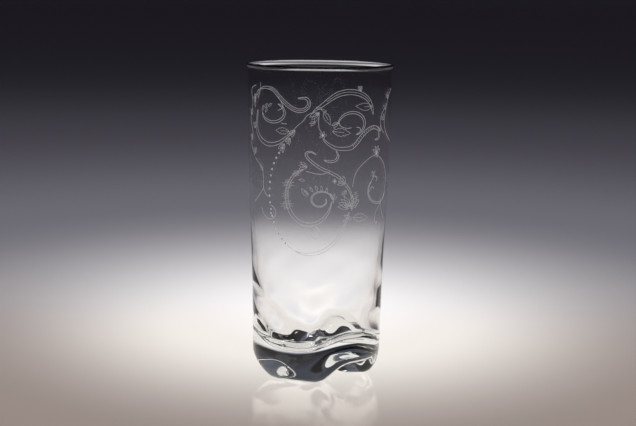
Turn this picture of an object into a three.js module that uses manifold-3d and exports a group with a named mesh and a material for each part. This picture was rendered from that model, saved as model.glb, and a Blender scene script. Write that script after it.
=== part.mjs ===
// A highball glass: a tall clear tumbler with a beaded lip, a gently tapered wall and a heavy base that
// stands on three rounded feet with an arch between each two.
// The section of the glass is turned round the axis and changes on the way from a foot to an arch. The
// glass is then divided at the heights where its lip, wall, heel, base and feet begin.
// Millimetres, +Z up. The origin is on the table under the middle of the glass, and one foot is at -Y.
import * as THREE from "three";
import { mergeVertices } from "three/addons/utils/BufferGeometryUtils.js";
import Module from "manifold-3d";

// Lip: the fire-polished bead round the mouth
const HEIGHT = 150; // table to the top of the lip
const LIP_HEIGHT = 2.25; // height of the bead outside
const LIP_PROUD = 0.95; // how far the bead stands out past the wall
const CREST_ROUND = 0.7; // radius of the bead's outer edge, up to its crest
const LIP_SLOPE = 2.1; // height of the slope from the crest down to the inside of the wall

// Wall: straight under the lip, then drawn in to the heel
const NECK_RADIUS = 34.35; // outside, under the lip
const HEEL_RADIUS = 30.8; // outside, above the feet
const NECK_STRAIGHT = 9; // length of straight wall under the lip
const WALL_TOP = 1.7; // thickness of the side wall
const WALL_LOW = 4; // thickness where the wall meets the inside corner

// Inside: floor of the bowl, which rises in a hump over each arch
const FLOOR_OVER_ARCH = 5.5; // lowest level of the floor above the top of the arches
const FLOOR_CROWN = 2; // rise of the floor's middle
const CORNER_ROUND = 6; // radius of the corner between floor and wall
const SIDE_HUMP_HEIGHT = 5; // how much higher the edge of the floor is over a side arch
const BACK_HUMP_HEIGHT = 8; // how much higher it is over the arch behind
const SIDE_HUMP_ANGLE = 71; // degrees from the middle of the broad foot to the hump on either side
const SIDE_HUMP_SPAN = 120; // degrees covered by the hump over either side arch
const BACK_HUMP_SPAN = 96; // degrees covered by the hump over the arch behind

// Feet: rounded lobes between three arches, a broad foot at -Y and two narrower ones behind
const FOOT_HEIGHT = 3; // height at which the feet join the base
const STANCE_RADIUS = 19.5; // axis to the middle of a foot's pad
const PAD_WIDTH = 6; // flat pad on which a foot rests
const HEEL_ROUND = 15; // height of the round edge outside the pads
const ARCH_OVER_FEET = 6.5; // how far an arch rises above the top of the feet
const ARCH_ROUND = 3.5; // radius of the round edge over an arch
const SIDE_ARCH_ANGLE = 77; // degrees from the middle of the broad foot to the arch on either side
const SIDE_ARCH_SPAN = 98; // degrees from the broad foot to a narrower one
const SIDE_ARCH_FLANK = 36; // degrees over which a side arch rises from a foot
const BACK_ANGLE = 180; // degrees from the middle of the broad foot to the arch and hump behind
const BACK_ARCH_SPAN = 96; // degrees from one of the narrower feet to the other
const PUNT_OVER_FEET = 0.7; // how far the hollow under the base rises above the top of the feet

// Heights at which the base, heel and side wall end
const BASE_OVER_HUMP = 3; // top of the base above the highest hump of the floor
const HEEL_LENGTH = 52; // height of the heel, in which the wall thickens

// Facets
const SEGMENTS = 60; // round the axis
const CURVE_STEPS = 8; // along a round stretch of the section
const WALL_STEPS = 9; // along the drawn-in stretch of the wall

const LIP_START = HEIGHT - LIP_HEIGHT;
const TAPER_END = LIP_START - NECK_STRAIGHT;
const ARCH_HEIGHT = FOOT_HEIGHT + ARCH_OVER_FEET;
const PUNT_HEIGHT = FOOT_HEIGHT + PUNT_OVER_FEET;
const FLOOR_HEIGHT = ARCH_HEIGHT + FLOOR_OVER_ARCH;
const INNER_RADIUS = NECK_RADIUS - WALL_TOP;
const CORNER_TOP = FLOOR_HEIGHT + CORNER_ROUND;
const BASE_TOP = FLOOR_HEIGHT + BACK_HUMP_HEIGHT + BASE_OVER_HUMP;
const HEEL_TOP = BASE_TOP + HEEL_LENGTH;
const PAD_INNER = STANCE_RADIUS - PAD_WIDTH / 2;
const PAD_OUTER = STANCE_RADIUS + PAD_WIDTH / 2;
const ARCHES = [
  { angle: SIDE_ARCH_ANGLE, span: SIDE_ARCH_SPAN, flank: SIDE_ARCH_FLANK, height: ARCH_HEIGHT },
  { angle: BACK_ANGLE, span: BACK_ARCH_SPAN, flank: BACK_ARCH_SPAN / 2, height: ARCH_HEIGHT },
  { angle: -SIDE_ARCH_ANGLE, span: SIDE_ARCH_SPAN, flank: SIDE_ARCH_FLANK, height: ARCH_HEIGHT },
];
const HUMPS = [
  { angle: SIDE_HUMP_ANGLE, span: SIDE_HUMP_SPAN, flank: SIDE_HUMP_SPAN / 2, height: SIDE_HUMP_HEIGHT },
  { angle: BACK_ANGLE, span: BACK_HUMP_SPAN, flank: BACK_HUMP_SPAN / 2, height: BACK_HUMP_HEIGHT },
  { angle: -SIDE_HUMP_ANGLE, span: SIDE_HUMP_SPAN, flank: SIDE_HUMP_SPAN / 2, height: SIDE_HUMP_HEIGHT },
];

const { degToRad, euclideanModulo, lerp, smoothstep, smootherstep } = THREE.MathUtils;
const wasm = await Module();
wasm.setup();

// Outside radius of the wall at a height.
function outerRadius(z) {
  return lerp(HEEL_RADIUS, NECK_RADIUS, smoothstep(z, HEEL_ROUND, TAPER_END));
}

// Inside radius of the wall, which thickens through the heel.
function innerRadius(z) {
  const thickness = lerp(WALL_LOW, WALL_TOP, smoothstep(z, CORNER_TOP, HEEL_TOP));
  return outerRadius(z) - thickness;
}

// Points of a quarter ellipse about a centre, from one angle to another.
function roundStretch(centreR, centreZ, radiusR, radiusZ, from, to) {
  return new THREE.EllipseCurve(centreR, centreZ, radiusR, radiusZ, from, to, to < from).getPoints(CURVE_STEPS);
}

// Points of a stretch that leaves one point level and reaches the next one level.
function levelStretch(r0, z0, r1, z1) {
  const middle = (r0 + r1) / 2;
  return new THREE.CubicBezierCurve(
    new THREE.Vector2(r0, z0),
    new THREE.Vector2(middle, z0),
    new THREE.Vector2(middle, z1),
    new THREE.Vector2(r1, z1),
  ).getPoints(CURVE_STEPS);
}

// Points of a wall between two heights, its radius taken from a function of height.
function wallStretch(radiusAt, z0, z1) {
  return Array.from({ length: WALL_STEPS + 1 }, (_, i) => {
    const z = lerp(z0, z1, i / WALL_STEPS);
    return new THREE.Vector2(radiusAt(z), z);
  });
}

// Outside from the axis under the base up to the lip. The underside comes down to the pad in a foot and
// stands at the full height in the middle of an arch.
function outsideSection(under) {
  const share = under / ARCH_HEIGHT;
  const rounding = lerp(HEEL_ROUND, ARCH_ROUND, share);
  const edge = lerp(PAD_OUTER, HEEL_RADIUS - ARCH_ROUND, share);
  return [
    ...levelStretch(0, PUNT_HEIGHT, PAD_INNER, under),
    ...roundStretch(edge, under + rounding, HEEL_RADIUS - edge, rounding, -Math.PI / 2, 0),
    ...wallStretch(outerRadius, under + rounding, TAPER_END),
  ];
}

// Points of a stretch that leaves one point upright and reaches the next one upright.
function uprightStretch(r0, z0, r1, z1) {
  return new THREE.CubicBezierCurve(
    new THREE.Vector2(r0, z0),
    new THREE.Vector2(r0, lerp(z0, z1, 1 / 3)),
    new THREE.Vector2(r1, lerp(z0, z1, 2 / 3)),
    new THREE.Vector2(r1, z1),
  ).getPoints(CURVE_STEPS);
}

// Bead: it swells out of the wall, rounds over to its crest and slopes down to the inside of the wall.
function lipSection() {
  const beadRadius = NECK_RADIUS + LIP_PROUD;
  const crestRadius = beadRadius - CREST_ROUND;
  const edgeTop = HEIGHT - CREST_ROUND;
  return [
    ...uprightStretch(NECK_RADIUS, LIP_START, beadRadius, edgeTop),
    ...roundStretch(crestRadius, edgeTop, CREST_ROUND, CREST_ROUND, 0, Math.PI / 2),
    ...uprightStretch(crestRadius, HEIGHT, INNER_RADIUS, HEIGHT - LIP_SLOPE),
  ];
}

// Inside of the bowl from under the lip to the middle of the floor, with the floor's edge lifted by a hump.
function insideSection(lift) {
  const floor = FLOOR_HEIGHT + lift;
  const cornerTop = floor + CORNER_ROUND;
  const cornerStart = innerRadius(cornerTop) - CORNER_ROUND;
  return [
    ...wallStretch(innerRadius, TAPER_END, cornerTop),
    ...roundStretch(cornerStart, cornerTop, CORNER_ROUND, CORNER_ROUND, 0, -Math.PI / 2),
    ...levelStretch(cornerStart, floor, 0, FLOOR_HEIGHT + FLOOR_CROWN),
  ];
}

// How high the arches or humps are at an angle, from 0 beside them all to the full height on top of one.
function riseAt(turn, rises) {
  const heights = rises.map(({ angle, span, flank, height }) => {
    const fromTop = Math.abs(euclideanModulo(turn - angle + 180, 360) - 180);
    return height * smootherstep(span / 2 - fromTop, 0, flank);
  });
  return Math.max(...heights);
}

// Whole section at an angle in degrees round the axis from -Y. Its two ends lie on the axis, so the turned
// section closes.
function glassSection(turn) {
  return [...outsideSection(riseAt(turn, ARCHES)), ...lipSection(), ...insideSection(riseAt(turn, HUMPS))];
}

// The turned section, with the points of each step round the axis taken from that angle's own section.
function glassGeometry() {
  const turned = new THREE.LatheGeometry(glassSection(0), SEGMENTS);
  const position = turned.getAttribute("position");
  const perSection = position.count / (SEGMENTS + 1);
  for (let step = 0; step <= SEGMENTS; step++) {
    const turn = (360 * step) / SEGMENTS;
    const [across, along] = [Math.sin(degToRad(turn)), -Math.cos(degToRad(turn))];
    glassSection(turn).forEach(({ x: r, y: z }, i) => {
      position.setXYZ(step * perSection + i, r * across, r * along, z);
    });
  }
  return turned;
}

// A closed geometry as a solid that can be cut.
function toSolid(geometry) {
  const bare = geometry.clone();
  bare.deleteAttribute("normal");
  bare.deleteAttribute("uv");
  const merged = mergeVertices(bare);
  const corners = merged.index.array;
  const triVerts = [];
  for (let i = 0; i < corners.length; i += 3) {
    const [a, b, c] = corners.slice(i, i + 3);
    if (a !== b && b !== c && c !== a) triVerts.push(a, b, c);
  }
  return new wasm.Manifold(
    new wasm.Mesh({
      numProp: 3,
      vertProperties: merged.getAttribute("position").array,
      triVerts: new Uint32Array(triVerts),
    }),
  );
}

// A solid as a geometry with its own normals.
function toGeometry(solid) {
  const mesh = solid.getMesh();
  const geometry = new THREE.BufferGeometry();
  geometry.setAttribute("position", new THREE.BufferAttribute(mesh.vertProperties, mesh.numProp));
  geometry.setIndex(new THREE.BufferAttribute(mesh.triVerts, 1));
  geometry.computeVertexNormals();
  return geometry;
}

// The part of a solid below a height, and the part above it. Both end in the same flat face.
function divide(solid, z) {
  const width = 4 * (NECK_RADIUS + HEEL_RADIUS);
  const below = toSolid(new THREE.BoxGeometry(width, width, width).translate(0, 0, z - width / 2));
  return [solid.intersect(below), solid.subtract(below)];
}

// Clear glass, slightly grey-green where it is thick.
function glassMaterial(color) {
  return new THREE.MeshStandardMaterial({
    color,
    roughness: 0.03,
    metalness: 0,
    transparent: true,
    opacity: 0.35,
  });
}

// A named piece of the glass.
function piece(name, solid, color) {
  const mesh = new THREE.Mesh(toGeometry(solid), glassMaterial(color));
  mesh.name = name;
  return mesh;
}

// The feet in order round the axis from the one at -Y.
function orderedFeet(feet) {
  const turn = (solid) => {
    const { min, max } = solid.boundingBox();
    const angle = Math.atan2(min[0] + max[0], -(min[1] + max[1]));
    return euclideanModulo(angle + Math.PI / feet.length, 2 * Math.PI);
  };
  return feet.sort((a, b) => turn(a) - turn(b));
}

const THIN_GLASS = 0xf2f7f6;
const THICK_GLASS = 0xdfe9e6;
const FOOT_NAMES = ["foot_front", "foot_right", "foot_left"];

const glass = toSolid(glassGeometry());
const [feet, aboveFeet] = divide(glass, FOOT_HEIGHT);
const [base, aboveBase] = divide(aboveFeet, BASE_TOP);
const [heel, aboveHeel] = divide(aboveBase, HEEL_TOP);
const [wall, lip] = divide(aboveHeel, LIP_START);

const highball = new THREE.Group();
highball.name = "highball_glass";
highball.add(
  piece("lip_bead", lip, THIN_GLASS),
  piece("side_wall", wall, THIN_GLASS),
  piece("heel", heel, THICK_GLASS),
  piece("base", base, THICK_GLASS),
);
orderedFeet(feet.decompose()).forEach((foot, i) => highball.add(piece(FOOT_NAMES[i], foot, THICK_GLASS)));

export default highball;
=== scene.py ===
"""Visual model of a highball glass: clear glass with an etched scroll ornament, in a plain studio."""

import logging
import math
from collections.abc import Callable
from dataclasses import dataclass, field
from enum import Enum

import bmesh
import bpy
from bmesh.types import BMesh, BMVert
from bpy.types import ID, Material, Mesh, Node, NodeSocket, NodeTree, Object
from mathutils import Matrix, Vector


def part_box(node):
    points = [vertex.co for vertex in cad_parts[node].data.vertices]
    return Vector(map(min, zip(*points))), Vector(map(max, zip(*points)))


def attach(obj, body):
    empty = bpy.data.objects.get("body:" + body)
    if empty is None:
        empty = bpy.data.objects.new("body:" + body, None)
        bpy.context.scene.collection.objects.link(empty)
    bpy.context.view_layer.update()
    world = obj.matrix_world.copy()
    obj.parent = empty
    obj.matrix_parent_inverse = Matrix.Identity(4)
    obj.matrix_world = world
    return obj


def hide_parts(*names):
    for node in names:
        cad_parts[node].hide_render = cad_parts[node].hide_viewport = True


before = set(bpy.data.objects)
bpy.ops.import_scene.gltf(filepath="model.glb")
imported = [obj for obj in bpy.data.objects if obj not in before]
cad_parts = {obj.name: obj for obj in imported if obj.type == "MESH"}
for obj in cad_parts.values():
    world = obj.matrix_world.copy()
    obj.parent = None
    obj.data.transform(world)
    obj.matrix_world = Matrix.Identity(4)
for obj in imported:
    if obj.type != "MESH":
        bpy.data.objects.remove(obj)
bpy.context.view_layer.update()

LOG = logging.getLogger("highball_glass")
MM = 0.001
BODY = "root"

# A radius in millimetres, or degrees round the glass, and a height.
Spot = tuple[float, float]
Colour = tuple[int, int, int]
# Values for a shader node's sockets, by name or place.
Sockets = dict[str | int, object]
# Corners of a mesh in order round a ring.
Ring = list[BMVert]
# Positions from 0 to 1, or distances in metres, each with the colour that is reached there.
Stops = tuple[tuple[float, Colour], ...]

# Radius in millimetres under which a point lies on the axis.
AXIS_TOUCH = 1e-6
# Degrees from place to place along an etched arc, and the fewest steps that an arc has.
ARC_STEP = 12.0
ARC_LEAST_STEPS = 6
# Sockets of the mixing nodes, which their names don't tell apart.
FIRST_SHADER, SECOND_SHADER = 1, 2
FIRST_COLOUR, SECOND_COLOUR, MIXED_COLOUR = 6, 7, 2


def part_way(value: float, low: float, high: float) -> float:
    """The share of the way from low to high that a value has come, kept from 0 to 1."""
    return min(max((value - low) / (high - low), 0.0), 1.0)


def ease(value: float, low: float, high: float) -> float:
    """Smooth step from 0 at low to 1 at high."""
    share = part_way(value, low, high)
    return share * share * (3.0 - 2.0 * share)


def swell(value: float, low: float, high: float) -> float:
    """Very smooth step from 0 at low to 1 at high, for surfaces that light shines through."""
    share = part_way(value, low, high)
    return share ** 3 * (10.0 - 15.0 * share + 6.0 * share * share)


def mix(start: float, end: float, share: float) -> float:
    """The value that lies a share of the way from start to end."""
    return start + (end - start) * share


def linear(srgb: Colour) -> tuple[float, float, float, float]:
    """Turn a colour as seen on a screen into the values that a shader takes.

    Args:
        srgb: Red, green and blue from 0 to 255.

    Returns:
        Linear red, green and blue, with full alpha.
    """
    def channel(value: int) -> float:
        """One linear channel."""
        share = value / 255.0
        return share / 12.92 if share <= 0.04045 else ((share + 0.055) / 1.055) ** 2.4

    red, green, blue = (channel(value) for value in srgb)
    return (red, green, blue, 1.0)


def new_object(name: str, data: ID) -> Object:
    """Put a mesh, a lamp or a camera into the scene as an object.

    Args:
        name: The object's name.
        data: What it shows, in metres in the shared frame.

    Returns:
        The new object.
    """
    made = bpy.data.objects.new(name, data)
    bpy.context.scene.collection.objects.link(made)
    return made


def new_mesh(name: str, shape: BMesh, material: Material) -> Mesh:
    """Turn a shape in the making into a finished mesh.

    Args:
        name: The mesh's name.
        shape: The shape, which is freed.
        material: What it is made of.

    Returns:
        The new mesh.
    """
    made = bpy.data.meshes.new(name)
    shape.to_mesh(made)
    shape.free()
    made.materials.append(material)
    return made


def bridge(shape: BMesh, low: Ring, high: Ring) -> None:
    """Close the band between two neighbouring rings.

    Args:
        shape: The shape in the making.
        low: One ring, or one point on the axis.
        high: The next ring, or one point on the axis.
    """
    count = max(len(low), len(high))
    for i in range(count):
        j = (i + 1) % count
        if len(low) == 1:
            shape.faces.new((low[0], high[j], high[i]))
        elif len(high) == 1:
            shape.faces.new((low[i], low[j], high[0]))
        else:
            shape.faces.new((low[i], low[j], high[j], high[i]))


def new_material(name: str) -> Material:
    """Make a material that begins as a plain shader and its output.

    Args:
        name: The material's name.

    Returns:
        The new material.
    """
    made = bpy.data.materials.new(name)
    made.use_nodes = True
    return made


def set_sockets(node: Node, values: Sockets) -> None:
    """Set some of a shader node's input sockets."""
    for socket, value in values.items():
        node.inputs[socket].default_value = value


def add_node(tree: NodeTree, kind: str, values: Sockets | None = None, **choices: str) -> Node:
    """Add a shader node.

    Args:
        tree: The node tree to add it to.
        kind: The end of the node's type name, after ShaderNode.
        values: Values for its input sockets.
        choices: Values for its own settings, such as its operation.

    Returns:
        The new node.
    """
    made = tree.nodes.new(f"ShaderNode{kind}")
    for setting, choice in choices.items():
        setattr(made, setting, choice)
    set_sockets(made, values or {})
    return made


def add_ramp(tree: NodeTree, stops: Stops) -> Node:
    """Add a scale of colours.

    Args:
        tree: The node tree to add it to.
        stops: Positions from 0 to 1, each with its colour.

    Returns:
        The colour ramp.
    """
    made = add_node(tree, "ValToRGB")
    points = made.color_ramp.elements
    for point, (position, colour) in zip(points, (stops[0], stops[-1])):
        point.position = position
        point.color = linear(colour)
    for position, colour in stops[1:-1]:
        points.new(position).color = linear(colour)
    return made


def add_bumpy_noise(tree: NodeTree, surface: Node, scale: float, detail: float, height: float) -> Node:
    """Give a surface a fine relief that follows a noise fixed to the object.

    Args:
        tree: The surface's node tree.
        surface: The shader that gets the relief.
        scale: Waves of the noise in a metre.
        detail: How many finer waves are added.
        height: Height of the relief in metres.

    Returns:
        The noise.
    """
    place = add_node(tree, "TexCoord")
    noise = add_node(tree, "TexNoise", {"Scale": scale, "Detail": detail})
    bump = add_node(tree, "Bump", {"Distance": height})
    tree.links.new(place.outputs["Object"], noise.inputs["Vector"])
    tree.links.new(noise.outputs["Fac"], bump.inputs["Height"])
    tree.links.new(bump.outputs["Normal"], surface.inputs["Normal"])
    return noise


@dataclass(frozen=True)
class Arch:
    """One arch between two feet: degrees round the axis from the broad foot, and a share of the height."""

    angle: float
    span: float
    flank: float
    rise: float = 1.0

    def share(self, turn: float) -> float:
        """How much of the full height is reached at an angle: the rise in the middle, 0 on the feet."""
        away = abs((turn - self.angle + 180.0) % 360.0 - 180.0)
        return self.rise * swell(self.span / 2.0 - away, 0.0, self.flank)


@dataclass(frozen=True)
class Ripple:
    """One slow wave of a surface: depth and rise in millimetres, waves around, and phase in degrees."""

    depth: float
    around: int
    rise: float
    phase: float

    def swing(self, turn: float, z: float) -> float:
        """How far the surface swings out at an angle from the broad foot and a height."""
        angle = self.around * turn + 360.0 * z / self.rise + self.phase
        return self.depth * math.sin(math.radians(angle))


@dataclass(frozen=True)
class GlassFinish:
    """Clear, faintly sea-green glass whose surface has a slow hand-made waviness."""

    tint: Colour = (255, 255, 255)
    index: float = 1.52
    roughness: float = 0.0
    depth_tint: Colour = (214, 240, 238)
    depth_density: float = 4.0
    wave_scale: float = 55.0
    wave_detail: float = 1.0
    wave_height: float = 0.00006

    def material(self) -> Material:
        """Build the glass material.

        Returns:
            A material that bends light, tints it with depth and lets lamps shine through to the floor.
        """
        made = new_material("clear_glass")
        tree = made.node_tree
        surface = tree.nodes["Principled BSDF"]
        set_sockets(surface, {
            "Base Color": linear(self.tint),
            "Roughness": self.roughness,
            "IOR": self.index,
            "Transmission Weight": 1.0,
        })
        add_bumpy_noise(tree, surface, self.wave_scale, self.wave_detail, self.wave_height)
        clear = add_node(tree, "BsdfTransparent")
        rays = add_node(tree, "LightPath")
        pick = add_node(tree, "MixShader")
        unbent = add_node(tree, "Math", operation="MAXIMUM")
        depth = add_node(tree, "VolumeAbsorption", {
            "Color": linear(self.depth_tint),
            "Density": self.depth_density,
        })
        output = tree.nodes["Material Output"]
        tree.links.new(rays.outputs["Is Shadow Ray"], unbent.inputs[0])
        tree.links.new(rays.outputs["Is Diffuse Ray"], unbent.inputs[1])
        tree.links.new(unbent.outputs["Value"], pick.inputs["Fac"])
        tree.links.new(surface.outputs["BSDF"], pick.inputs[FIRST_SHADER])
        tree.links.new(clear.outputs["BSDF"], pick.inputs[SECOND_SHADER])
        tree.links.new(pick.outputs["Shader"], output.inputs["Surface"])
        tree.links.new(depth.outputs["Volume"], output.inputs["Volume"])
        return made


@dataclass(frozen=True)
class GlassBody:
    """The whole body of glass: sizes in millimetres, and the formulas of its two surfaces."""

    height: float
    lip_start: float
    bead_radius: float
    neck_radius: float
    heel_top: float
    foot_height: float
    crown_round: float = 0.7
    lip_slope: float = 2.1
    heel_radius: float = 30.8
    neck_straight: float = 9.0
    wall_top: float = 1.7
    wall_low: float = 4.0
    arch_over_feet: float = 6.5
    arch_round: float = 3.5
    floor_over_arch: float = 5.5
    punt_over_feet: float = 0.7
    floor_crown: float = 2.0
    corner_round: float = 6.0
    hump_height: float = 8.0
    stance_radius: float = 19.5
    pad_width: float = 6.0
    heel_round: float = 15.0
    arches: tuple[Arch, ...] = (
        Arch(77.0, 98.0, 36.0),
        Arch(180.0, 96.0, 48.0),
        Arch(-77.0, 98.0, 36.0),
    )
    humps: tuple[Arch, ...] = (
        Arch(71.0, 120.0, 60.0, 0.625),
        Arch(180.0, 96.0, 48.0),
        Arch(-71.0, 120.0, 60.0, 0.625),
    )
    ripples: tuple[Ripple, ...] = (
        Ripple(0.35, 3, -25.0, 40.0),
        Ripple(0.3, 7, 18.0, 100.0),
        Ripple(0.1, 9, 15.0, 10.0),
    )
    ripple_top: float = 62.0
    base_ripples: tuple[Ripple, ...] = (Ripple(0.3, 4, -30.0, 0.0), Ripple(0.25, 4, 30.0, 90.0))
    base_ripple_top: float = 28.0
    segments: int = 288
    curve_steps: int = 24
    wall_steps: int = 72

    @classmethod
    def from_frame(cls) -> "GlassBody":
        """Take the sizes that the frame's boxes show from them.

        Returns:
            A glass that fills the frame's boxes.
        """
        lip_low, lip_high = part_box("lip_bead")
        wall_low, wall_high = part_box("side_wall")
        _, foot_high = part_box("foot_front")
        return cls(
            height=lip_high.z / MM,
            lip_start=lip_low.z / MM,
            bead_radius=lip_high.x / MM,
            neck_radius=wall_high.x / MM,
            heel_top=wall_low.z / MM,
            foot_height=foot_high.z / MM,
        )

    @property
    def taper_end(self) -> float:
        """Height at which the wall has its full width."""
        return self.lip_start - self.neck_straight

    @property
    def crest_radius(self) -> float:
        """Radius at which the lip is highest."""
        return self.bead_radius - self.crown_round

    @property
    def arch_height(self) -> float:
        """Height of the arches over the table."""
        return self.foot_height + self.arch_over_feet

    @property
    def floor_height(self) -> float:
        """Lowest level of the bowl's floor."""
        return self.arch_height + self.floor_over_arch

    @property
    def corner_top(self) -> float:
        """Height at which the bowl's round corner meets the wall."""
        return self.floor_height + self.corner_round

    def outer_radius(self, z: float) -> float:
        """Outside radius of the wall at a height."""
        return mix(self.heel_radius, self.neck_radius, ease(z, self.heel_round, self.taper_end))

    def inner_radius(self, z: float) -> float:
        """Inside radius of the wall at a height, where the wall thickens through the heel."""
        thickness = mix(self.wall_low, self.wall_top, ease(z, self.corner_top, self.heel_top))
        return self.outer_radius(z) - thickness

    def arch_share(self, turn: float) -> float:
        """The share of the arches' height that is reached at an angle from the broad foot."""
        return max(arch.share(turn) for arch in self.arches)

    def hump_share(self, turn: float) -> float:
        """The share of the humps' height inside that is reached at an angle from the broad foot."""
        return max(hump.share(turn) for hump in self.humps)

    def level_stretch(self, start: Spot, end: Spot) -> list[Spot]:
        """Points of a stretch of the section that is level at both ends.

        Args:
            start: Radius and height of its first point.
            end: Radius and height of its last point.

        Returns:
            The points from start to end.
        """
        middle = (start[0] + end[0]) / 2.0
        made = []
        for i in range(self.curve_steps + 1):
            t = i / self.curve_steps
            near, far = (1.0 - t) ** 3, t ** 3
            first, second = 3.0 * t * (1.0 - t) ** 2, 3.0 * t * t * (1.0 - t)
            radius = near * start[0] + (first + second) * middle + far * end[0]
            made.append((radius, (near + first) * start[1] + (second + far) * end[1]))
        return made

    def round_stretch(self, centre: Spot, radii: Spot, start: float, end: float) -> list[Spot]:
        """Points of an arc of an ellipse in the section.

        Args:
            centre: Radius and height of its centre.
            radii: Its half width and half height.
            start: First angle in degrees, from straight out.
            end: Last angle in degrees.

        Returns:
            The points from start to end.
        """
        made = []
        for i in range(self.curve_steps + 1):
            angle = math.radians(mix(start, end, i / self.curve_steps))
            made.append((centre[0] + radii[0] * math.cos(angle), centre[1] + radii[1] * math.sin(angle)))
        return made

    def outer_section(self, share: float) -> list[Spot]:
        """Section of the underside and outside, from the axis to the crown of the bead.

        Args:
            share: 0 on a foot and 1 in the middle of an arch.

        Returns:
            Radius and height of each point.
        """
        pad_inner = self.stance_radius - self.pad_width / 2.0
        pad_outer = self.stance_radius + self.pad_width / 2.0
        under = self.arch_height * share
        rounding = mix(self.heel_round, self.arch_round, share)
        edge = mix(pad_outer, self.heel_radius - self.arch_round, share)
        crown = self.height - self.crown_round
        punt = self.foot_height + self.punt_over_feet
        radii = (self.heel_radius - edge, rounding)
        points = self.level_stretch((0.0, punt), (pad_inner, under))
        points += self.round_stretch((edge, under + rounding), radii, -90.0, 0.0)
        for i in range(1, self.wall_steps + 1):
            z = mix(under + rounding, self.taper_end, i / self.wall_steps)
            points.append((self.outer_radius(z), z))
        for i in range(self.curve_steps):
            part = i / self.curve_steps
            bulge = mix(self.neck_radius, self.bead_radius, ease(part, 0.0, 1.0))
            points.append((bulge, mix(self.lip_start, crown, part)))
        radii = (self.crown_round, self.crown_round)
        return points + self.round_stretch((self.crest_radius, crown), radii, 0.0, 90.0)

    def inner_section(self, share: float) -> list[Spot]:
        """Section of the inside, from the crown of the bead to the axis on the floor.

        Args:
            share: 0 over a foot and 1 over the middle of an arch.

        Returns:
            Radius and height of each point.
        """
        floor = self.floor_height + self.hump_height * share
        rounding = self.corner_round
        corner = self.inner_radius(floor + rounding)
        mouth = self.neck_radius - self.wall_top
        points = []
        for i in range(1, self.curve_steps + 1):
            part = i / self.curve_steps
            radius = mix(self.crest_radius, mouth, ease(part, 0.0, 1.0))
            points.append((radius, self.height - self.lip_slope * part))
        points.append((mouth, self.height - self.lip_slope - self.crown_round))
        for i in range(self.wall_steps):
            z = mix(self.taper_end, floor + rounding, i / self.wall_steps)
            points.append((self.inner_radius(z), z))
        turning = (corner - rounding, floor + rounding)
        points += self.round_stretch(turning, (rounding, rounding), 0.0, -90.0)
        centre = (0.0, self.floor_height + self.floor_crown)
        return points + self.level_stretch((corner - rounding, floor), centre)[1:]

    def inner_swing(self, turn: float, radius: float, z: float) -> float:
        """How far the ripples move a point of the inside: they die out up the wall and to the axis.

        Args:
            turn: Degrees round the axis from the broad foot.
            radius: The point's radius.
            z: The point's height.

        Returns:
            The distance outwards.
        """
        strength = (radius / self.heel_radius) ** 2 * (1.0 - ease(z, self.corner_top, self.ripple_top))
        return strength * sum(ripple.swing(turn, z) for ripple in self.ripples)

    def outer_swing(self, turn: float, radius: float, z: float) -> float:
        """How far the base's ripples move a point of the outside: they spare the pads, axis and wall.

        Args:
            turn: Degrees round the axis from the broad foot.
            radius: The point's radius.
            z: The point's height.

        Returns:
            The distance outwards.
        """
        strength = ease(radius, 0.0, self.stance_radius) * ease(z, 0.0, self.foot_height)
        strength *= 1.0 - ease(z, self.heel_round, self.base_ripple_top)
        return strength * sum(ripple.swing(turn, z) for ripple in self.base_ripples)

    def build(self, finish: GlassFinish) -> Object:
        """Turn the section round the axis and wave its lower end into feet and arches.

        Args:
            finish: The glass to make it of.

        Returns:
            The glass, one closed smooth mesh.
        """
        sections = []
        for i in range(self.segments):
            turn = 360.0 * i / self.segments
            outside = self.outer_section(self.arch_share(turn))
            inside = self.inner_section(self.hump_share(turn))
            section = [(radius + self.outer_swing(turn, radius, z), z) for radius, z in outside]
            section += [(radius + self.inner_swing(turn, radius, z), z) for radius, z in inside]
            sections.append(section)
        shape = bmesh.new()
        rings = []
        for points in zip(*sections):
            if points[0][0] < AXIS_TOUCH:
                rings.append([shape.verts.new((0.0, 0.0, points[0][1] * MM))])
                continue
            ring = []
            for i, (radius, z) in enumerate(points):
                turn = 2.0 * math.pi * i / self.segments
                place = Vector((radius * math.sin(turn), -radius * math.cos(turn), z))
                ring.append(shape.verts.new(place * MM))
            rings.append(ring)
        for low, high in zip(rings, rings[1:]):
            bridge(shape, low, high)
        bmesh.ops.recalc_face_normals(shape, faces=shape.faces)
        mesh = new_mesh("glass_body", shape, finish.material())
        mesh.shade_smooth()
        return new_object("glass_body", mesh)


@dataclass(frozen=True)
class EtchFinish:
    """White satin frost, where the surface of the glass is etched away in fine grains."""

    pale: Colour = (240, 243, 248)
    thin: Colour = (186, 192, 202)
    pale_grain: float = 0.6
    thin_grain: float = 0.35
    roughness: float = 0.62
    cover: float = 0.92
    scatter: float = 0.7
    scatter_depth: float = 0.001
    grain_scale: float = 5200.0
    grain_detail: float = 2.0
    grain_depth: float = 0.00002

    def material(self) -> Material:
        """Build the frost.

        Returns:
            A grainy white that lets a little of the glass behind it through.
        """
        made = new_material("etched_frost")
        tree = made.node_tree
        surface = tree.nodes["Principled BSDF"]
        set_sockets(surface, {
            "Roughness": self.roughness,
            "Alpha": self.cover,
            "Subsurface Weight": self.scatter,
            "Subsurface Radius": (1.0, 1.0, 1.0),
            "Subsurface Scale": self.scatter_depth,
        })
        grain = add_bumpy_noise(tree, surface, self.grain_scale, self.grain_detail, self.grain_depth)
        ramp = add_ramp(tree, ((self.thin_grain, self.thin), (self.pale_grain, self.pale)))
        tree.links.new(grain.outputs["Fac"], ramp.inputs["Fac"])
        tree.links.new(ramp.outputs["Color"], surface.inputs["Base Color"])
        return made


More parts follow.
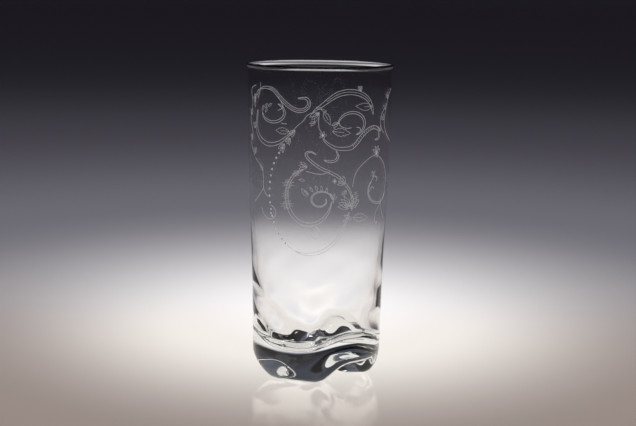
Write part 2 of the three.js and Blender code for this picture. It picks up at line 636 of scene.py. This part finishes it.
class Mark(Enum):
    """How a stroke of two lines is etched."""

    STEM = "two lines that meet at both ends"
    RIBBED = "two lines with a third between them"
    LADDER = "two lines with rungs between them"


def arc(centre: Spot, half: Spot, start: float, sweep: float, shrink: float = 1.0) -> list[Spot]:
    """Places along an oval arc or spiral on the wall.

    Args:
        centre: Its centre on the wall.
        half: Half width in degrees and half height.
        start: Angle of its first place, in degrees from the right.
        sweep: How far it turns, to the left where positive.
        shrink: Size at its end as a share of the size at its start.

    Returns:
        The places, from start to end.
    """
    steps = max(ARC_LEAST_STEPS, round(abs(sweep) / ARC_STEP))
    made = []
    for i in range(steps + 1):
        size = mix(1.0, shrink, i / steps)
        angle = math.radians(start + sweep * i / steps)
        across, up = half[0] * size * math.cos(angle), half[1] * size * math.sin(angle)
        made.append((centre[0] + across, centre[1] + up))
    return made


def towards(angle: float) -> Vector:
    """Unit vector of the flat drawing at an angle in radians, from the right."""
    return Vector((math.cos(angle), math.sin(angle)))


@dataclass
class Etching:
    """One motif on the outside of the wall, drawn flat in millimetres and wrapped round the glass.

    Widths of leaves are shares of their length, and sizes of a flower shares of its radius.
    """

    glass: GlassBody
    turn: float
    line_width: float = 0.17
    rung_width: float = 0.12
    relief: float = 0.03
    clearance: float = 0.01
    smooth_steps: int = 7
    stem_gap: float = 1.1
    rung_step: float = 0.8
    rib_margin: int = 6
    ribbed_leaf: float = 4.5
    rib_length: float = 0.67
    leaf_width: float = 0.34
    leaf_taper: float = 0.85
    leaf_steps: int = 10
    acanthus_width: float = 0.46
    acanthus_lobes: int = 5
    lobe_steps: int = 6
    scallop_low: float = 0.68
    scallop_depth: float = 0.32
    petal_reach: float = 0.66
    petal_swing: float = 0.34
    petal_steps: int = 10
    flower_eye: float = 0.3
    hatch_length: float = 0.8
    hatch_change: float = 0.2
    hatch_lean: float = 0.25
    dot_sides: int = 12
    shape: BMesh = field(default_factory=bmesh.new)

    @property
    def flat_degree(self) -> float:
        """Width of one degree on the flat drawing."""
        return math.radians(self.glass.neck_radius)

    def flat(self, spot: Spot) -> Vector:
        """A place on the wall as a point of the flat drawing."""
        return Vector((spot[0] * self.flat_degree, spot[1]))

    def wrap(self, point: Vector, proud: float) -> Vector:
        """Put a point of the flat drawing on the glass, a little proud of it.

        Args:
            point: The point, in millimetres.
            proud: How far it stands off the clearance.

        Returns:
            The place in metres.
        """
        angle = math.radians(point.x / self.flat_degree + self.turn)
        radius = self.glass.outer_radius(point.y) + self.clearance + proud
        return Vector((radius * math.sin(angle), -radius * math.cos(angle), point.y)) * MM

    def smooth(self, spots: list[Spot]) -> list[Vector]:
        """Draw a smooth curve through a few places.

        Args:
            spots: Places on the wall.

        Returns:
            Points of the flat drawing.
        """
        knots = [self.flat(spot) for spot in spots]
        knots = [2.0 * knots[0] - knots[1]] + knots + [2.0 * knots[-1] - knots[-2]]
        made = [knots[1]]
        for before, start, end, after in zip(knots, knots[1:], knots[2:], knots[3:]):
            for i in range(1, self.smooth_steps + 1):
                t = i / self.smooth_steps
                leave, arrive = (end - before) / 2.0, (after - start) / 2.0
                made.append(
                    start * (2.0 * t ** 3 - 3.0 * t ** 2 + 1.0)
                    + leave * (t ** 3 - 2.0 * t ** 2 + t)
                    + end * (3.0 * t ** 2 - 2.0 * t ** 3)
                    + arrive * (t ** 3 - t ** 2)
                )
        return made

    def across(self, path: list[Vector], i: int) -> Vector:
        """Direction square to a flat path at one of its points."""
        ahead = path[min(i + 1, len(path) - 1)] - path[max(i - 1, 0)]
        return Vector((-ahead.y, ahead.x)).normalized()

    def skin(self, rings: list[Ring]) -> None:
        """Close a skin over rings of corners, with a face at each end.

        Args:
            rings: Rings of equally many corners, in order.
        """
        for low, high in zip(rings, rings[1:]):
            bridge(self.shape, low, high)
        self.shape.faces.new(rings[0][::-1])
        self.shape.faces.new(rings[-1])

    def ribbon(self, path: list[Vector], width: float) -> None:
        """Etch one flat closed ribbon along a path.

        Args:
            path: Points of the flat drawing.
            width: Width of the ribbon.
        """
        rings = []
        for i, point in enumerate(path):
            side = self.across(path, i) * width / 2.0
            left, right = point - side, point + side
            corners = ((left, 0.0), (right, 0.0), (right, self.relief), (left, self.relief))
            rings.append([self.shape.verts.new(self.wrap(corner, proud)) for corner, proud in corners])
        self.skin(rings)

    def edges(self, path: list[Vector], half: list[float], width: float) -> None:
        """Etch two ribbons, one on each side of a path.

        Args:
            path: Points of the flat drawing.
            half: Distance from each point of the path to the ribbons.
            width: Width of the ribbons.
        """
        for side in (1.0, -1.0):
            edge = [point + self.across(path, i) * (side * half[i]) for i, point in enumerate(path)]
            self.ribbon(edge, width)

    def line(self, spots: list[Spot]) -> None:
        """Etch one smooth line through a few places."""
        self.ribbon(self.smooth(spots), self.line_width)

    def stroke(self, mark: Mark, spots: list[Spot], gap: float = 0.0, rungs: Spot = (0.0, 1.0)) -> None:
        """Etch one stroke of two lines.

        Args:
            mark: How it is etched.
            spots: Places on the wall that it passes.
            gap: Greatest distance between its two lines, or 0 for the usual one.
            rungs: Shares of its length between which it has rungs.
        """
        path = self.smooth(spots)
        last = len(path) - 1
        widest = (gap or self.stem_gap) / 2.0
        half = [widest * math.sqrt(math.sin(math.pi * i / last)) for i in range(last + 1)]
        self.edges(path, half, self.line_width)
        if mark is Mark.RIBBED:
            margin = last // self.rib_margin
            self.ribbon(path[margin:last - margin], self.rung_width)
        if mark is Mark.LADDER:
            self.rungs(path, half, rungs)

    def rungs(self, path: list[Vector], half: list[float], stretch: Spot) -> None:
        """Etch the rungs of a ladder at even steps.

        Args:
            path: Middle line of the ladder.
            half: Distance from the middle line to each side line.
            stretch: Shares of the length between which there are rungs.
        """
        whole = sum((b - a).length for a, b in zip(path, path[1:]))
        run, due = 0.0, stretch[0] * whole
        for i in range(1, len(path)):
            run += (path[i] - path[i - 1]).length
            if due <= run <= stretch[1] * whole:
                side = self.across(path, i) * half[i]
                self.ribbon([path[i] - side, path[i] + side], self.rung_width)
                due = run + self.rung_step

    def blade(
        self, base: Spot, heading: float, length: float, width: float, bend: float, lobes: int
    ) -> None:
        """Etch the outline of a leaf with its middle rib.

        Args:
            base: Where the leaf grows from.
            heading: Direction of its tip in degrees, 0 to the right and 90 up.
            length: Length of the leaf.
            width: Greatest width of the leaf.
            bend: Degrees by which the leaf turns on its way to the tip.
            lobes: Number of scallops along each edge, or 0 for a plain edge.
        """
        steps = max(self.leaf_steps, self.lobe_steps * lobes)
        rib = [self.flat(base)]
        for i in range(steps):
            rib.append(rib[-1] + towards(math.radians(heading + bend * i / steps)) * length / steps)
        half = []
        for i in range(steps + 1):
            share = i / steps
            scallop = 1.0
            if lobes:
                scallop = self.scallop_low + self.scallop_depth * abs(math.sin(math.pi * lobes * share))
            half.append(width / 2.0 * math.sin(math.pi * share ** self.leaf_taper) * scallop)
        self.edges(rib, half, self.rung_width)
        if length > self.ribbed_leaf:
            self.ribbon(rib[:int(self.rib_length * steps)], self.rung_width)

    def leaf(self, base: Spot, heading: float, length: float, bend: float = 20.0) -> None:
        """Etch a plain pointed leaf."""
        self.blade(base, heading, length, self.leaf_width * length, bend, 0)

    def acanthus(self, base: Spot, heading: float, length: float, bend: float = 0.0) -> None:
        """Etch a scalloped leaf."""
        self.blade(base, heading, length, self.acanthus_width * length, bend, self.acanthus_lobes)

    def spray(self, base: Spot, headings: tuple[float, ...], length: float) -> None:
        """Etch several leaves that grow from one place."""
        for heading in headings:
            self.leaf(base, heading, length)

    def feather(self, centre: Spot, width: float, height: float, count: int) -> None:
        """Etch an oval tuft of level hatching.

        Args:
            centre: Its middle on the wall.
            width: Width of the tuft.
            height: Height of the tuft.
            count: Number of strokes.
        """
        middle = self.flat(centre)
        for i in range(count):
            share = 2.0 * (i + 0.5) / count - 1.0
            half = width / 2.0 * math.sqrt(1.0 - share * share)
            reach = half * (self.hatch_length + self.hatch_change * (-1) ** i)
            lean = Vector((reach, self.hatch_lean))
            level = middle + Vector((0.0, share * height / 2.0))
            self.ribbon([level - lean, level, level + lean], self.rung_width)

    def flower(self, centre: Spot, radius: float, petals: int) -> None:
        """Etch a small open flower.

        Args:
            centre: Its middle on the wall.
            radius: Distance from the middle to the tip of a petal.
            petals: Number of petals.
        """
        middle, steps = self.flat(centre), self.petal_steps * petals
        ring = []
        for i in range(steps):
            angle = 2.0 * math.pi * i / steps
            reach = radius * (self.petal_reach + self.petal_swing * math.cos(petals * angle))
            ring.append(middle + towards(angle) * reach)
        self.ribbon(ring, self.rung_width)
        self.dot(centre, self.flower_eye * radius)

    def dot(self, centre: Spot, radius: float) -> None:
        """Etch one round dot.

        Args:
            centre: Its middle on the wall.
            radius: Radius of the dot.
        """
        middle = self.flat(centre)
        rings = []
        for proud in (0.0, self.relief):
            ring = []
            for i in range(self.dot_sides):
                rim = middle + towards(2.0 * math.pi * i / self.dot_sides) * radius
                ring.append(self.shape.verts.new(self.wrap(rim, proud)))
            rings.append(ring)
        self.skin(rings)

    def finish(self, name: str, frost: Material) -> Object:
        """Turn the drawing into a piece.

        Args:
            name: The piece's name.
            frost: Its material.

        Returns:
            The piece.
        """
        bmesh.ops.recalc_face_normals(self.shape, faces=self.shape.faces)
        return new_object(name, new_mesh(name, self.shape, frost))


@dataclass(frozen=True)
class ScrollOrnament:
    """The etched scrolls and leaves: places in degrees round the glass and millimetres of height."""

    glass: GlassBody
    turn: float
    dot_radius: float = 0.5
    dot_count: int = 17
    dots_start: float = 128.0
    dots_end: float = 236.0
    ring_centre: Spot = (-8.0, 90.0)
    ring_half: Spot = (35.5, 27.5)

    def upper_left_scroll(self, etch: Etching) -> None:
        """Draw the scroll at the upper left, with its arc, ring and curled stem.

        Args:
            etch: The motif in the making.
        """
        crest = [(-54, 138.6), (-47, 139.6), (-39, 138.8), (-33, 135.8), (-25, 131.8), (-17, 129.6)]
        etch.stroke(Mark.RIBBED, crest + [(-11, 130.2), (-8, 132.6), (-10, 135.2), (-17, 135.2)], 1.7)
        etch.line([(-34, 135.8), (-29.5, 131.6), (-31, 130), (-34, 129.3)])
        etch.stroke(Mark.STEM, arc((-39.5, 128.2), (11.6, 4.6), 62, -240, 0.95), 1.1)
        leaves = ((-51, 128.6, 62), (-48, 130.2, 40), (-44, 131, 20), (-47, 128, 60))
        for turn, height, heading in leaves:
            etch.leaf((turn, height), heading, 2.8)
        under = [(-57, 129), (-58.5, 121), (-55, 116.4), (-45, 113.3), (-33, 114.4), (-22, 119)]
        etch.stroke(Mark.STEM, under, 1.8)
        etch.line([(-22, 119), (-18, 122), (-13, 124.6), (-9, 127.6), (-4, 129)])
        etch.acanthus((-24, 119.8), 178, 7.2)
        etch.line([(-31, 123.5), (-29, 123.2), (-26, 123.3)])
        etch.spray((-19, 120.3), (196, 214, 236), 3.6)
        etch.spray((-23, 116.6), (205, 228, 252), 3.2)
        etch.spray((-28, 113.8), (205, 226, 248), 4.2)
        etch.line([(-53, 138.4), (-53.5, 141.6)])
        etch.spray((-54, 138.4), (215, 238), 4.4)
        etch.spray((-61, 133), (80, 100, 260), 3.2)

    def upper_right_scroll(self, etch: Etching) -> None:
        """Draw the scroll at the upper right, with its ring and laddered sweep.

        Args:
            etch: The motif in the making.
        """
        crest = [(-5, 129.2), (3, 132.6), (9, 135.4), (15, 137.4), (22, 138.3), (29, 138.1), (35, 137)]
        etch.stroke(Mark.RIBBED, crest + [(41, 134.8), (45, 131.4), (47, 127.6)], 2.4)
        etch.spray((33, 138.6), (60, 84, 108), 2.6)
        etch.spray((0, 128.8), (196, 216, 238), 5)
        etch.spray((-3, 124.4), (185, 215), 2.8)
        etch.spray((1.5, 130.4), (-30, 150), 2.6)
        etch.acanthus((3.5, 129.2), -62, 6.6)
        etch.line([(0, 128), (-0.5, 124.5), (0, 121.5), (2, 119.8)])
        etch.flower((3, 118.4), 1.8, 5)
        sweep = [(3, 116.8), (7, 114.5), (13, 112.5), (20, 112.1), (26, 112.5), (31, 114.7), (36, 118)]
        sweep += [(42, 120.6), (49, 121.6), (55, 120), (55, 116.6), (50, 115.6)]
        etch.stroke(Mark.LADDER, sweep, 1.7, (0.38, 0.74))
        etch.stroke(Mark.STEM, arc((27, 123.4), (12, 5.7), 178, -250, 0.88), 1.1)
        etch.line([(15.4, 124), (17.5, 122.4), (22, 121.6), (26, 121.8)])
        etch.spray((14.5, 124.2), (196, 226), 3.2)
        etch.acanthus((10.5, 120.2), -6, 8.8)
        etch.leaf((45.5, 131.4), 182, 9.8, -10)
        etch.line([(30.5, 122), (33.5, 121.6), (34.5, 120)])
        etch.stroke(Mark.STEM, [(13.5, 111.4), (15.3, 108.8), (13, 106.6), (8, 106.2), (4, 106.9)], 0.9)

    def centre_scroll(self, etch: Etching) -> None:
        """Draw the large scroll in the middle, with its spiral, tufts and palmette.

        Args:
            etch: The motif in the making.
        """
        hook = [(-2, 109.4), (-6, 110.6), (-9.5, 110.2), (-9.5, 108.4), (-5, 105.8), (2, 103), (10, 101)]
        etch.stroke(Mark.STEM, hook + [(17, 98.6), (22, 95.6), (26.5, 92), (28.8, 88), (28.5, 83)])
        etch.line([(9, 101.4), (3, 100.4), (-3, 100.6), (-10, 101.6)])
        etch.stroke(Mark.STEM, arc((-7.5, 89.6), (18.8, 13), 104, 246), 1.6)
        etch.stroke(Mark.STEM, arc((2, 88), (10.4, 4.9), -15, 400, 0.4), 0.6)
        etch.spray((-9, 103.4), (136, 160, 184), 4.2)
        etch.feather((-18, 100.4), 4.6, 3, 5)
        etch.feather((-25, 95.2), 6.4, 4.6, 7)
        etch.feather((-27, 90.2), 4.4, 4.4, 7)
        etch.feather((-26, 85.4), 7.6, 4.2, 7)
        bow_top, bow_fall = 92.6, 0.03
        for turn, heading in ((-8, 132), (-4.5, 116), (-1, 100), (2.5, 86), (6, 70)):
            etch.leaf((turn, bow_top - bow_fall * turn * turn), heading, 2.6)
        etch.acanthus((-9, 90), 128, 4.4)
        etch.leaf((-11, 97), 160, 3)
        etch.spray((11, 88.8), (10, 50, 96), 2.8)
        etch.spray((21.5, 95.8), (96, 126, 154, 178), 3.8)
        etch.spray((23, 92.6), (215, 240), 3.2)
        etch.flower((13, 97), 1.1, 4)
        etch.spray((26.5, 84.2), (26, 48, 70, 110, 128, 146, 164), 6.4)
        etch.feather((31.5, 88), 4.4, 8, 9)
        etch.stroke(Mark.STEM, [(-2, 76), (1.2, 73.6), (0.8, 71), (-2.5, 70.2), (-5.2, 71.8)], 0.8)
        lower = arc(self.ring_centre, self.ring_half, 252, 92)
        etch.stroke(Mark.LADDER, lower, 1.5, (0.3, 0.97))
        etch.line(arc(self.ring_centre, self.ring_half, 238, 22))
        etch.acanthus((30, 79.6), 2, 9, -10)
        etch.spray((28.5, 79), (148, 182), 4.6)

    def right_scroll(self, etch: Etching) -> None:
        """Draw the scroll at the right, with its flower and ring.

        Args:
            etch: The motif in the making.
        """
        etch.line([(28.5, 94), (30.5, 99.8), (36, 104), (45, 107.4), (51, 108.6)])
        etch.flower((53, 109), 1.8, 5)
        etch.spray((53, 109.6), (20, 62, 104, 146), 3.4)
        etch.line([(54.5, 108.2), (61, 106), (68, 101.8), (72, 96), (71, 90)])
        etch.stroke(Mark.STEM, arc((58, 92), (13.5, 6.4), 140, 205), 0.8)
        etch.line([(47.5, 96), (51, 98.4), (55, 97.6), (54, 95.8)])
        etch.line([(45, 91), (49, 93.6), (52, 92.4)])
        etch.spray((50, 98), (60, 100), 3.2)
        etch.line([(63, 85.4), (57, 82), (54.5, 79), (56, 76), (59, 76.4)])
        etch.line([(63, 85.4), (66, 81), (72, 77)])

    def right_vine(self, etch: Etching) -> None:
        """Draw the leafy vine that turns out of sight at the right.

        Args:
            etch: The motif in the making.
        """
        vine = [(80, 114), (69, 117.4), (63.5, 122), (63.5, 126), (66.5, 131), (71, 135.6), (79, 139)]
        etch.line(vine)
        etch.line([(62, 118.4), (57.5, 122), (58, 127), (64, 130.6)])
        for i in range(4):
            etch.spray((57 + 4 * i, 119.5 + 5 * i), (75, 130), 3)

    def left_hook(self, etch: Etching) -> None:
        """Draw the forked stem and the hook at the left.

        Args:
            etch: The motif in the making.
        """
        fork = [(-62, 106), (-54, 102.8), (-51, 100), (-50.5, 96), (-51, 92.2), (-57, 88.6), (-65, 85)]
        etch.line(fork)
        etch.line([(-51, 92.2), (-47.5, 89.4), (-43, 88.4)])
        etch.leaf((-51, 100.4), 118, 4)
        hook = [(-54, 83), (-51, 79.9), (-46, 78.2), (-41, 78.3), (-37, 80.6), (-38.5, 83.4)]
        etch.line(hook + [(-42.5, 84.6)])
        etch.dot((-42, 80.8), self.dot_radius)

    def left_vine(self, etch: Etching) -> None:
        """Draw the leafy vine that turns out of sight at the left.

        Args:
            etch: The motif in the making.
        """
        etch.line([(-63, 107), (-69, 112), (-66, 118), (-70, 124), (-66, 131), (-68, 138), (-60, 140.4)])
        for i in range(5):
            etch.spray((-65 + 3 * (-1) ** i, 108 + 6 * i), (65, 110), 3.2)

    def dotted_arc(self, etch: Etching) -> None:
        """Draw the row of dots that leads round the middle scroll.

        Args:
            etch: The motif in the making.
        """
        for i in range(self.dot_count):
            angle = math.radians(mix(self.dots_start, self.dots_end, i / (self.dot_count - 1)))
            turn = self.ring_centre[0] + self.ring_half[0] * math.cos(angle)
            height = self.ring_centre[1] + self.ring_half[1] * math.sin(angle)
            etch.dot((turn, height), self.dot_radius)

    def build(self, finish: EtchFinish) -> list[Object]:
        """Draw every motif on the side that the photograph shows.

        Args:
            finish: The frost of the etched lines.

        Returns:
            One piece for each motif.
        """
        frost = finish.material()
        motifs: tuple[Callable[[Etching], None], ...] = (
            self.upper_left_scroll,
            self.upper_right_scroll,
            self.centre_scroll,
            self.right_scroll,
            self.right_vine,
            self.left_hook,
            self.left_vine,
            self.dotted_arc,
        )
        made = []
        for motif in motifs:
            etch = Etching(self.glass, self.turn)
            motif(etch)
            made.append(etch.finish(f"etched_{motif.__name__}", frost))
        return made


@dataclass(frozen=True)
class FloorWithPaintedPool:
    """Polished table top whose colour holds a painted pool of light behind the glass, under the real light
    of the lamp above, fading into painted shade: warm in front and dark and cool at the back.
    """

    # Painted pool of light and painted shade behind the glass: colours by distance in metres from the
    # pool's middle.
    behind: Stops = (
        (0.0, (255, 252, 250)),
        (0.05, (240, 237, 238)),
        (0.55, (110, 108, 116)),
        (1.4, (84, 80, 89)),
        (14.0, (72, 56, 58)),
    )
    # The same painted pool of light and painted shade in front of the glass.
    in_front: Stops = (
        (0.0, (255, 252, 250)),
        (0.05, (240, 236, 234)),
        (0.12, (234, 228, 222)),
        (0.32, (148, 135, 129)),
        (0.55, (108, 98, 95)),
        (2.0, (77, 69, 69)),
        (14.0, (50, 44, 47)),
    )
    reach: float = 0.5
    narrowing: float = 1.6
    roughness: float = 0.1
    polish_index: float = 1.5

    def position(self, distance: float) -> float:
        """Place of a distance in metres on a scale from 0 to 1."""
        return distance / (distance + self.reach)

    def painted_pool_colour(self, tree: NodeTree) -> NodeSocket:
        """Paint a pool of light and its fall into shade into the colour, by place on the floor's object,
        from the middle of the pool outwards.

        Args:
            tree: The floor's node tree.

        Returns:
            The colour, as an output socket.
        """
        links = tree.links
        place = add_node(tree, "TexCoord")
        narrow = add_node(tree, "VectorMath", {1: (self.narrowing, 1.0, 1.0)}, operation="MULTIPLY")
        length = add_node(tree, "VectorMath", operation="LENGTH")
        beyond = add_node(tree, "Math", {1: self.reach}, operation="ADD")
        share = add_node(tree, "Math", operation="DIVIDE")
        links.new(place.outputs["Object"], narrow.inputs[0])
        links.new(narrow.outputs["Vector"], length.inputs[0])
        links.new(length.outputs["Value"], beyond.inputs[0])
        links.new(length.outputs["Value"], share.inputs[0])
        links.new(beyond.outputs["Value"], share.inputs[1])
        heading = add_node(tree, "VectorMath", operation="NORMALIZE")
        split = add_node(tree, "SeparateXYZ")
        backwards = add_node(tree, "MapRange", {"From Min": -1.0}, interpolation_type="SMOOTHSTEP")
        blend = add_node(tree, "Mix", data_type="RGBA")
        links.new(place.outputs["Object"], heading.inputs[0])
        links.new(heading.outputs["Vector"], split.inputs["Vector"])
        links.new(split.outputs["Y"], backwards.inputs["Value"])
        links.new(backwards.outputs["Result"], blend.inputs["Factor"])
        for socket, stops in ((FIRST_COLOUR, self.in_front), (SECOND_COLOUR, self.behind)):
            ramp = add_ramp(tree, tuple((self.position(distance), colour) for distance, colour in stops))
            ramp.color_ramp.interpolation = "EASE"
            links.new(share.outputs["Value"], ramp.inputs["Fac"])
            links.new(ramp.outputs["Color"], blend.inputs[socket])
        return blend.outputs[MIXED_COLOUR]

    def material(self) -> Material:
        """Build the floor's material, a colour with a painted pool of light and painted shade under a
        polish that shows most at low angles.

        Returns:
            The material.
        """
        made = new_material("floor_with_painted_pool")
        tree, links = made.node_tree, made.node_tree.links
        surface = tree.nodes["Principled BSDF"]
        set_sockets(surface, {"Roughness": 1.0, "Specular IOR Level": 0.0})
        polish = add_node(tree, "BsdfGlossy", {"Roughness": self.roughness})
        grazing = add_node(tree, "Fresnel", {"IOR": self.polish_index})
        gloss = add_node(tree, "MixShader")
        both = add_node(tree, "AddShader")
        # The base colour carries the painted pool of light and painted shade.
        links.new(self.painted_pool_colour(tree), surface.inputs["Base Color"])
        links.new(grazing.outputs["Fac"], gloss.inputs["Fac"])
        links.new(polish.outputs["BSDF"], gloss.inputs[SECOND_SHADER])
        links.new(surface.outputs["BSDF"], both.inputs[0])
        links.new(gloss.outputs["Shader"], both.inputs[1])
        links.new(both.outputs["Shader"], tree.nodes["Material Output"].inputs["Surface"])
        return made


@dataclass(frozen=True)
class Studio:
    """Floor, light and camera, in metres and degrees."""

    camera_turn: float = 28.0
    camera_distance: float = 0.8947
    camera_height: float = 0.1897
    camera_pitch: float = 7.11
    camera_roll: float = 0.78
    lens: float = 106.05
    floor_radius: float = 30.0
    floor_sides: int = 96
    # Distance behind the glass of the middle of the floor's painted pool of light.
    painted_pool_behind: float = 0.16
    horizon: Colour = (24, 22, 25)
    zenith: Colour = (70, 78, 96)
    fill: float = 0.53
    lamp_behind: float = 0.16
    lamp_height: float = 1.2
    lamp_size: float = 0.35
    lamp_power: float = 8.45
    aim_height: float = 0.08
    most_bounces: int = 24
    glass_bounces: int = 20

    @property
    def towards_camera(self) -> Vector:
        """Level direction from the glass to the camera."""
        turn = math.radians(self.camera_turn)
        return Vector((math.sin(turn), -math.cos(turn), 0.0))

    def add_camera(self) -> Object:
        """Make the camera at the photograph's viewing angle.

        Returns:
            The camera, set as the scene's own.
        """
        data = bpy.data.cameras.new("photo_camera")
        data.lens = self.lens
        data.clip_end = 2.0 * self.floor_radius
        made = new_object("photo_camera", data)
        level, up = -self.towards_camera, Vector((0.0, 0.0, 1.0))
        pitch, roll = math.radians(self.camera_pitch), math.radians(self.camera_roll)
        ahead = level * math.cos(pitch) - up * math.sin(pitch)
        over = level * math.sin(pitch) + up * math.cos(pitch)
        side = level.cross(up)
        right = side * math.cos(roll) + over * math.sin(roll)
        head = over * math.cos(roll) - side * math.sin(roll)
        turn = Matrix((right, head, -ahead)).transposed()
        place = self.towards_camera * self.camera_distance + up * self.camera_height
        made.matrix_world = Matrix.Translation(place) @ turn.to_4x4()
        bpy.context.scene.camera = made
        return made

    def add_floor(self, finish: FloorWithPaintedPool) -> Object:
        """Make the floor, a wide disc whose middle holds the painted pool of light.

        Args:
            finish: The floor's surface.

        Returns:
            The floor.
        """
        shape = bmesh.new()
        bmesh.ops.create_circle(
            shape, cap_ends=True, segments=self.floor_sides, radius=self.floor_radius
        )
        made = new_object("studio_floor", new_mesh("studio_floor", shape, finish.material()))
        # Centre the painted pool of light behind the glass.
        made.location = -self.towards_camera * self.painted_pool_behind
        made.rotation_euler.z = math.radians(self.camera_turn)
        return made

    def add_world(self) -> None:
        """Light the room evenly, and let the camera and the glass see it dark."""
        world = bpy.data.worlds.new("studio_room")
        bpy.context.scene.world = world
        world.use_nodes = True
        tree, links = world.node_tree, world.node_tree.links
        tree.nodes.clear()
        rays = add_node(tree, "LightPath")
        soft = add_node(tree, "Background", {"Color": (1.0, 1.0, 1.0, 1.0), "Strength": self.fill})
        seen = add_node(tree, "Background")
        place = add_node(tree, "TexCoord")
        split = add_node(tree, "SeparateXYZ")
        ramp = add_ramp(tree, ((0.0, self.horizon), (1.0, self.zenith)))
        pick = add_node(tree, "MixShader")
        output = add_node(tree, "OutputWorld")
        links.new(place.outputs["Generated"], split.inputs["Vector"])
        links.new(split.outputs["Z"], ramp.inputs["Fac"])
        links.new(ramp.outputs["Color"], seen.inputs["Color"])
        links.new(rays.outputs["Is Diffuse Ray"], pick.inputs["Fac"])
        links.new(seen.outputs["Background"], pick.inputs[FIRST_SHADER])
        links.new(soft.outputs["Background"], pick.inputs[SECOND_SHADER])
        links.new(pick.outputs["Shader"], output.inputs["Surface"])

    def add_lamp(self) -> Object:
        """Make the soft square lamp over the glass, which reflections don't show.

        Returns:
            The lamp.
        """
        data = bpy.data.lights.new("top_softbox", "AREA")
        data.size = self.lamp_size
        data.energy = self.lamp_power
        made = new_object("top_softbox", data)
        up = Vector((0.0, 0.0, 1.0))
        made.location = up * self.lamp_height - self.towards_camera * self.lamp_behind
        aim = up * self.aim_height - made.location
        made.rotation_euler = aim.to_track_quat("-Z", "Y").to_euler()
        made.visible_glossy = False
        return made

    def build(self, floor: FloorWithPaintedPool) -> None:
        """Make the whole studio.

        Args:
            floor: The floor's surface.
        """
        scene = bpy.context.scene
        scene.view_settings.view_transform = "Standard"
        scene.cycles.max_bounces = self.most_bounces
        scene.cycles.transmission_bounces = self.glass_bounces
        scene.cycles.transparent_max_bounces = self.most_bounces
        self.add_camera()
        self.add_floor(floor)
        self.add_world()
        self.add_lamp()


def main() -> None:
    """Build the studio and the glass, and report each piece."""
    logging.basicConfig(level=logging.INFO, format="%(name)s: %(message)s")
    studio = Studio()
    studio.build(FloorWithPaintedPool())
    glass = GlassBody.from_frame()
    body = glass.build(GlassFinish())
    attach(body, BODY)
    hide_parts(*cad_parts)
    LOG.info("%s: %d faces", body.name, len(body.data.polygons))
    for piece in ScrollOrnament(glass, studio.camera_turn).build(EtchFinish()):
        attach(piece, BODY)
        LOG.info("%s: %d faces", piece.name, len(piece.data.polygons))


if __name__ == "__main__":
    main()
